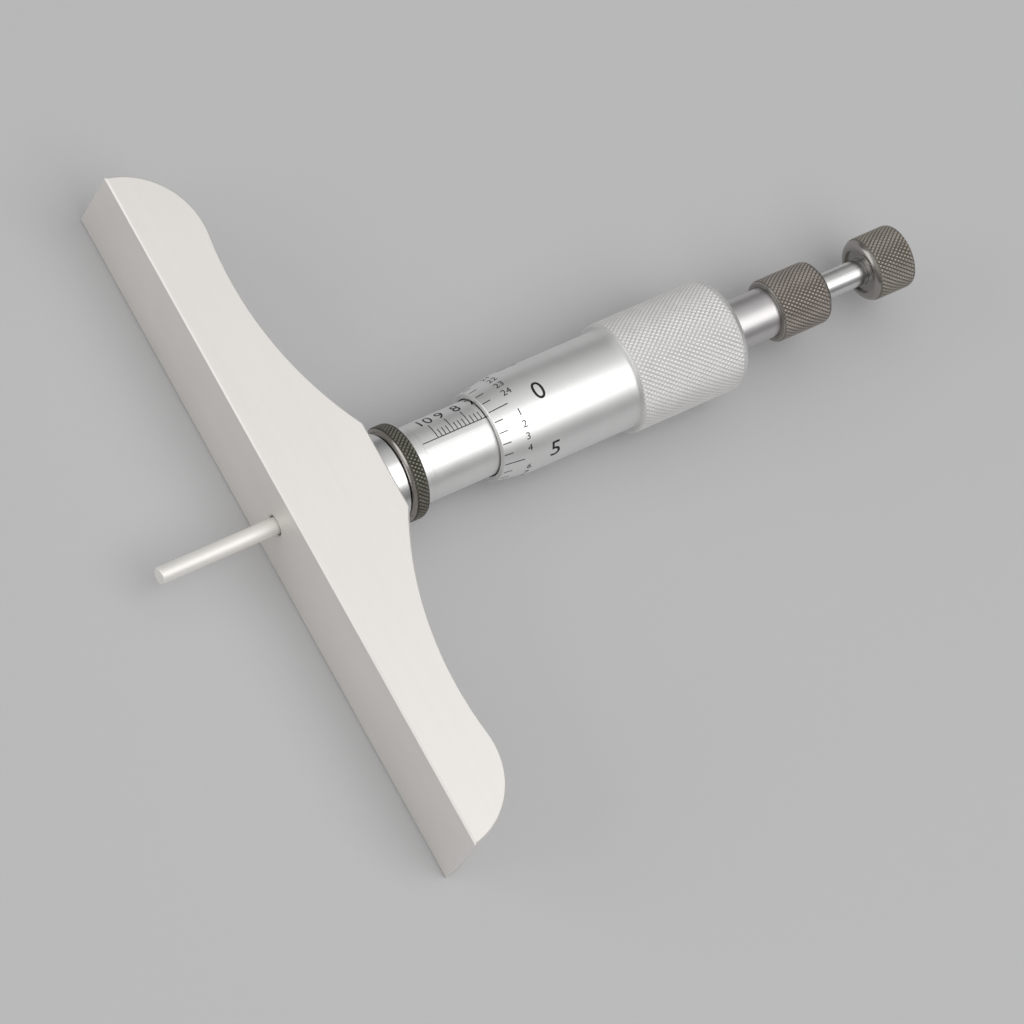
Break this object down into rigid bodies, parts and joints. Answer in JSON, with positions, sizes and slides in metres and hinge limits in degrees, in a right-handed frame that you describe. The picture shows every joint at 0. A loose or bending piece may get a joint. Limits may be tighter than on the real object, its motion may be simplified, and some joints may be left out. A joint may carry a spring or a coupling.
{
  "type": "depth micrometer",
  "caption": "Depth micrometer with a swept steel base, knurled lock ring, graduated sleeve and thimble, interchangeable measuring rod and ratchet stop.",
  "frame": {"origin": "centre of the measuring face, on the spindle axis", "axes": "+Y along the spindle axis to the ratchet knob, X along the base, +Z out of the broad face that looks up when the instrument lies on its back"},
  "size_m": [0.1016, 0.1204, 0.0158],
  "materials": {
    "base_steel": "satin ground hardened steel",
    "satin_chrome": "satin chrome",
    "bright_steel": "fine turned steel",
    "dark_knurl": "dark oxide over knurled steel",
    "inner_steel": "machined steel",
    "spring_steel": "spring wire"
  },
  "bodies": {
    "base_body": {"base": "base_steel", "barrel": "bright_steel", "adjusting_nut": "inner_steel", "lock_roller": "inner_steel"},
    "lock_ring_body": {"lock_ring": "dark_knurl"},
    "sleeve_body": {"sleeve": "satin_chrome"},
    "rod_body": {"measuring_rod": "bright_steel", "rod_adjusting_nut": "inner_steel", "rod_lock_nut": "inner_steel"},
    "thimble_body": {"spindle": "inner_steel", "thimble": "satin_chrome", "neck_nut": "bright_steel"},
    "cap_body": {"cap": "dark_knurl", "ratchet_stem": "bright_steel", "ratchet_wheel": "inner_steel", "retaining_screw": "inner_steel"},
    "knob_body": {"knob": "dark_knurl", "knob_end_plug": "bright_steel", "clutch_spring": "spring_steel"},
    "clutch_body": {"clutch_ring": "inner_steel"}
  },
  "joints": [
    {"name": "depth_travel", "type": "slide", "parent": "base_body", "child": "rod_body", "axis": [0, -1, 0], "range_m": [-0.01778, 0.00762]},
    {"name": "thimble_turn", "type": "hinge", "parent": "rod_body", "child": "thimble_body", "pos_m": [0, 0.05, 0], "axis": [0, -1, 0], "range_deg": [-10080.5, 4320.5]},
    {"name": "lock_turn", "type": "hinge", "parent": "base_body", "child": "lock_ring_body", "pos_m": [0, 0.01985, 0], "axis": [0, 1, 0], "range_deg": [0, 60]},
    {"name": "sleeve_zero", "type": "hinge", "parent": "base_body", "child": "sleeve_body", "pos_m": [0, 0.036, 0], "axis": [0, 1, 0], "range_deg": [-15, 15]},
    {"name": "cap_turn", "type": "hinge", "parent": "thimble_body", "child": "cap_body", "pos_m": [0, 0.082, 0], "axis": [0, 1, 0], "range_deg": [0, 90]},
    {"name": "ratchet_turn", "type": "hinge", "parent": "cap_body", "child": "knob_body", "pos_m": [0, 0.0965, 0], "axis": [0, 1, 0], "continuous": true},
    {"name": "clutch_slide", "type": "slide", "parent": "knob_body", "child": "clutch_body", "axis": [0, 1, 0], "range_m": [0, 0.0005], "stiffness_N_per_m": 200, "springref_m": -0.001, "deforming": ["clutch_spring"]}
  ],
  "couplings": [
    {"joint": "thimble_turn", "follows": "depth_travel", "rad_per_m": 9894.8}
  ]
}
